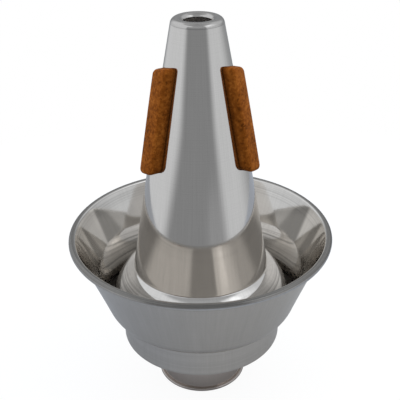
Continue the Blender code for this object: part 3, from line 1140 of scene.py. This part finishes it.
def front_edge(tree, bearing, height, spread, inner, outer):
    """Rise from an inner to an outer bearing; each one is its place and how far it moves.

    The places move as the height sinks from 14 to 4 degrees. Below -4 degrees the edge also
    moves by the spread for each degree.
    """
    soft = smooth(tree, height, 14.0, 4.0)
    low = maths(tree, "MAXIMUM", maths(tree, "SUBTRACT", -4.0, height), 0.0)
    moved = maths(tree, "MULTIPLY_ADD", low, spread, bearing)
    ends = [maths(tree, "MULTIPLY_ADD", soft, move, place) for place, move in (inner, outer)]
    return smooth(tree, moved, *ends)


print("bearing 0 is the front, 90 the right and -90 the left; height 90 is straight up")


# %% The two panels and the grey room
LEFT_BACK = (-162.0, -130.0)
LEFT_FRONT = ((-43.0, 9.0), (-52.0, -5.0))
LEFT_SPREAD = 2.0
LEFT_LEVEL = 0.70
RIGHT_BACK = (140.0, 85.0)
RIGHT_FRONT = ((36.0, -6.0), (42.0, 9.0))
RIGHT_SPREAD = -0.9
RIGHT_LEVEL = 0.66
PANEL_TOP = (63.0, 52.0)
ROOM_LEVEL = 0.28


def left_panel(tree, bearing, height):
    """Mask and brightness on the left; above 40 degrees it reaches further to the front.

    The brightness is LEFT_LEVEL, and rises by 0.12 from 2 to 22 degrees of height.
    """
    edge = front_edge(tree, bearing, height, LEFT_SPREAD, *LEFT_FRONT)
    main = maths(tree, "MULTIPLY", smooth(tree, bearing, *LEFT_BACK), edge)
    wider = between(tree, bearing, *LEFT_BACK, -37.0, -20.0)
    high = maths(tree, "MULTIPLY", wider, smooth(tree, height, 40.0, 43.0))
    level = maths(tree, "MULTIPLY_ADD", smooth(tree, height, 2.0, 22.0), 0.12, LEFT_LEVEL)
    return maths(tree, "MAXIMUM", main, high), level


def right_panel(tree, bearing, height):
    """Mask and brightness on the right, with a bright core and a brighter spot high up.

    The brightness is RIGHT_LEVEL, plus 0.34 in the core and another 0.36 in the spot.
    """
    edge = front_edge(tree, bearing, height, RIGHT_SPREAD, *RIGHT_FRONT)
    main = maths(tree, "MULTIPLY", smooth(tree, bearing, *RIGHT_BACK), edge)
    wider = between(tree, bearing, 36.0, 42.0, 130.0, 156.0)
    high = maths(tree, "MULTIPLY", wider, smooth(tree, height, 2.0, 22.0))
    core = between(tree, bearing, 36.0, 44.0, 78.0, 112.0)
    core = maths(tree, "MULTIPLY", core, smooth(tree, height, 20.0, 38.0))
    spot = between(tree, bearing, 46.0, 63.0, 67.0, 77.0)
    spot = maths(tree, "MULTIPLY", spot, smooth(tree, height, 39.0, 43.0))
    level = maths(tree, "MULTIPLY_ADD", core, 0.34, RIGHT_LEVEL)
    level = maths(tree, "MULTIPLY_ADD", spot, 0.36, level)
    return maths(tree, "MAXIMUM", main, high), level


def grey_room(tree, bearing, height):
    """A plain grey plus faint glows: each is a mask times its brightness."""
    aside = maths(tree, "ABSOLUTE", bearing)
    low_right = between(tree, bearing, 5.0, 25.0, 60.0, 90.0)
    low_right = maths(tree, "MULTIPLY", low_right, smooth(tree, height, -6.0, -11.0))
    high_front = between(tree, height, 34.5, 36.5, 41.0, 45.0)
    high_front = maths(tree, "MULTIPLY", high_front, smooth(tree, aside, 60.0, 40.0))
    walls = smooth(tree, height, 4.0, 24.0)
    ceiling = between(tree, height, 34.0, 50.0, 66.0, 80.0)
    back = between(tree, aside, 60.0, 120.0, 140.0, 165.0)
    room = ROOM_LEVEL
    glows = ((walls, 0.07), (ceiling, 0.08), (back, 0.07), (low_right, 0.07), (high_front, 0.2))
    for mask, level in glows:
        room = maths(tree, "MULTIPLY_ADD", mask, level, room)
    return room


print("panels reach back to", LEFT_BACK[1], "and", RIGHT_BACK[1], "degrees, up to", PANEL_TOP[1])


# %% World
CARD_TINT = (0.98, 1.02, 1.07)
SOFT_TINT = (0.98, 0.99, 1.0)
SOFT_LEVEL = 0.38


def make_cards(tree):
    """Brightness of what stands round the mute: the room, with the two panels laid over it."""
    bearing, height = look(tree)
    below_top = smooth(tree, height, *PANEL_TOP)
    shown = grey_room(tree, bearing, height)
    for mask, level in (left_panel(tree, bearing, height), right_panel(tree, bearing, height)):
        share = maths(tree, "MULTIPLY", mask, below_top)
        shown = node(tree, "ShaderNodeMix", {0: share, 2: shown, 3: level}).outputs[0]
    return shown


def make_world():
    """White for the camera, the cards for reflections, and a plain soft light for matt things.

    The soft light is SOFT_LEVEL from straight in front, and rises by 1 to the sides.
    """
    made = bpy.data.worlds.new("studio")
    made.use_nodes = True
    tree = made.node_tree
    camera_ray, mirrored = ray_kinds(tree)
    ray = node(tree, "ShaderNodeTexCoord").outputs["Generated"]
    y = node(tree, "ShaderNodeSeparateXYZ", {0: ray}).outputs["Y"]
    aside = smooth(tree, maths(tree, "MULTIPLY", y, -1.0), 0.95, 0.0)
    level = maths(tree, "ADD", aside, SOFT_LEVEL)
    soft = scaled(tree, SOFT_TINT, level)
    met = blend(tree, mirrored, soft, scaled(tree, CARD_TINT, make_cards(tree)))
    seen = blend(tree, camera_ray, met, (1.0, 1.0, 1.0))
    connect(tree, tree.nodes["Background"], {"Color": seen})
    print("world:", len(tree.nodes), "nodes")
    return made


bpy.context.scene.world = make_world()

# %% [markdown]
# The camera
#
# The camera stands where the photographer stood: in front, looking down by 28 degrees. Its
# place and lens were worked out from the ellipses that the round parts make in the picture,
# because a camera placed by eye leaves every ring a little off. Polished shells nest in each
# other, so a ray may be mirrored a dozen times before it leaves them.

# %% Camera
SIDE = 400.0
FOCAL = 758.0
SENSOR = 36.0
EYE = (0.087, -300.11, 256.27)
PITCH = math.radians(28.372)
ROLL = math.radians(0.812)
MIRROR_BOUNCES = 12

camera_data = bpy.data.cameras.new("camera")
camera_data.sensor_width = SENSOR
camera_data.lens = SENSOR * FOCAL / SIDE
camera_data.clip_start = 0.01
camera = bpy.data.objects.new("camera", camera_data)
bpy.context.scene.collection.objects.link(camera)
camera.location = [c * MM for c in EYE]
tilt = Euler((math.pi / 2 - PITCH, 0.0, 0.0)).to_matrix().to_4x4()
camera.matrix_world = Matrix.Translation(camera.location) @ tilt @ Matrix.Rotation(-ROLL, 4, "Z")
bpy.context.scene.camera = camera
bpy.context.scene.view_settings.view_transform = "Standard"
bpy.context.scene.cycles.glossy_bounces = MIRROR_BOUNCES
print("lens:", round(camera_data.lens, 1), "mm; place:", [round(c, 4) for c in camera.location])
